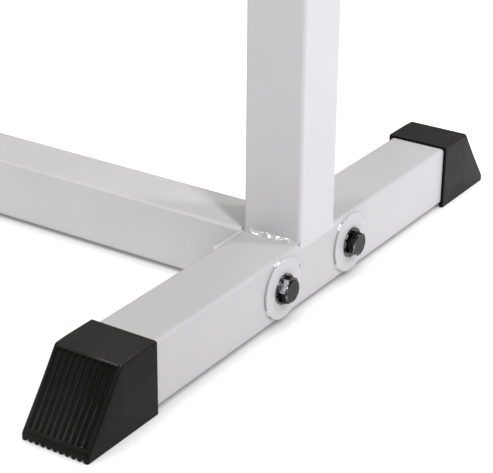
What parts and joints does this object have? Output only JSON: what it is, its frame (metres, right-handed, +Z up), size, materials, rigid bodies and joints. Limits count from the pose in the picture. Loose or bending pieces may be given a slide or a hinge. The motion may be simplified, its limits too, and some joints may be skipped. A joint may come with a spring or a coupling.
{
  "type": "balance beam",
  "caption": "Padded gymnastics balance beam on two T-shaped square-tube legs joined by a floor rail, with telescoping posts locked by pull pins.",
  "frame": {"origin": "on the floor, under the middle of the beam", "axes": "+X along the beam, +Y across it, +Z up; each leg's outer face with the bolt heads looks away from the middle"},
  "size_m": [2.4, 0.563, 0.6],
  "materials": {
    "white_paint": "semi-gloss white powder coat",
    "cap_rubber": "matte moulded",
    "black_steel": "black oxide, glossy",
    "zinc_steel": "bright zinc plate",
    "spring_steel": "drawn wire",
    "black_nylon": "satin moulded",
    "wood": "planed",
    "foam": "closed-cell foam",
    "suede": "brushed synthetic suede"
  },
  "bodies": {
    "base": {"foot_tube_right": "white_paint", "foot_tube_left": "white_paint", "post_right": "white_paint", "post_left": "white_paint", "foot_cap_front_right": "cap_rubber", "foot_cap_rear_right": "cap_rubber", "foot_cap_front_left": "cap_rubber", "foot_cap_rear_left": "cap_rubber", "bolt_discs_right": "white_paint", "bolt_discs_left": "white_paint", "crush_sleeves_right": "zinc_steel", "crush_sleeves_left": "zinc_steel", "post_welds_right": "white_paint", "post_welds_left": "white_paint", "disc_tacks_right": "white_paint", "disc_tacks_left": "white_paint", "stretcher_rail": "white_paint", "rail_flange_right": "white_paint", "rail_flange_left": "white_paint", "rail_welds_right": "white_paint", "rail_welds_left": "white_paint", "frame_bolts_right": "black_steel", "frame_bolts_left": "black_steel", "bolt_washers_right": "black_steel", "bolt_washers_left": "black_steel", "lock_nuts_right": "black_steel", "lock_nuts_left": "black_steel", "post_bushing_right": "black_nylon", "post_bushing_left": "black_nylon", "pin_boss_right": "white_paint", "pin_boss_left": "white_paint", "pin_barrel_right": "zinc_steel", "pin_barrel_left": "zinc_steel", "pin_spring_right": "spring_steel", "pin_spring_left": "spring_steel"},
    "beam": {"inner_post_right": "white_paint", "inner_post_left": "white_paint", "inner_glide_right": "black_nylon", "inner_glide_left": "black_nylon", "saddle_plate_right": "white_paint", "saddle_plate_left": "white_paint", "saddle_gussets_right": "white_paint", "saddle_gussets_left": "white_paint", "saddle_bolts_right": "black_steel", "saddle_bolts_left": "black_steel", "saddle_washers_right": "black_steel", "saddle_washers_left": "black_steel", "threaded_inserts_right": "zinc_steel", "threaded_inserts_left": "zinc_steel", "beam_core": "wood", "beam_foam": "foam", "end_foam_right": "foam", "end_foam_left": "foam", "beam_cover": "suede", "cover_staples": "zinc_steel"},
    "pin_right": {"lock_pin_right": "zinc_steel", "pin_knob_right": "black_nylon"},
    "pin_left": {"lock_pin_left": "zinc_steel", "pin_knob_left": "black_nylon"}
  },
  "joints": [
    {"name": "beam_height", "type": "slide", "parent": "base", "child": "beam", "axis": [0, 0, 1], "range_m": [0, 0.15]},
    {"name": "pin_pull_right", "type": "slide", "parent": "base", "child": "pin_right", "axis": [1, 0, 0], "range_m": [0, 0.01], "stiffness_N_per_m": 500, "springref_m": -0.008, "deforming": ["pin_spring_right"]},
    {"name": "pin_pull_left", "type": "slide", "parent": "base", "child": "pin_left", "axis": [-1, 0, 0], "range_m": [0, 0.01], "stiffness_N_per_m": 500, "springref_m": -0.008, "deforming": ["pin_spring_left"]}
  ]
}
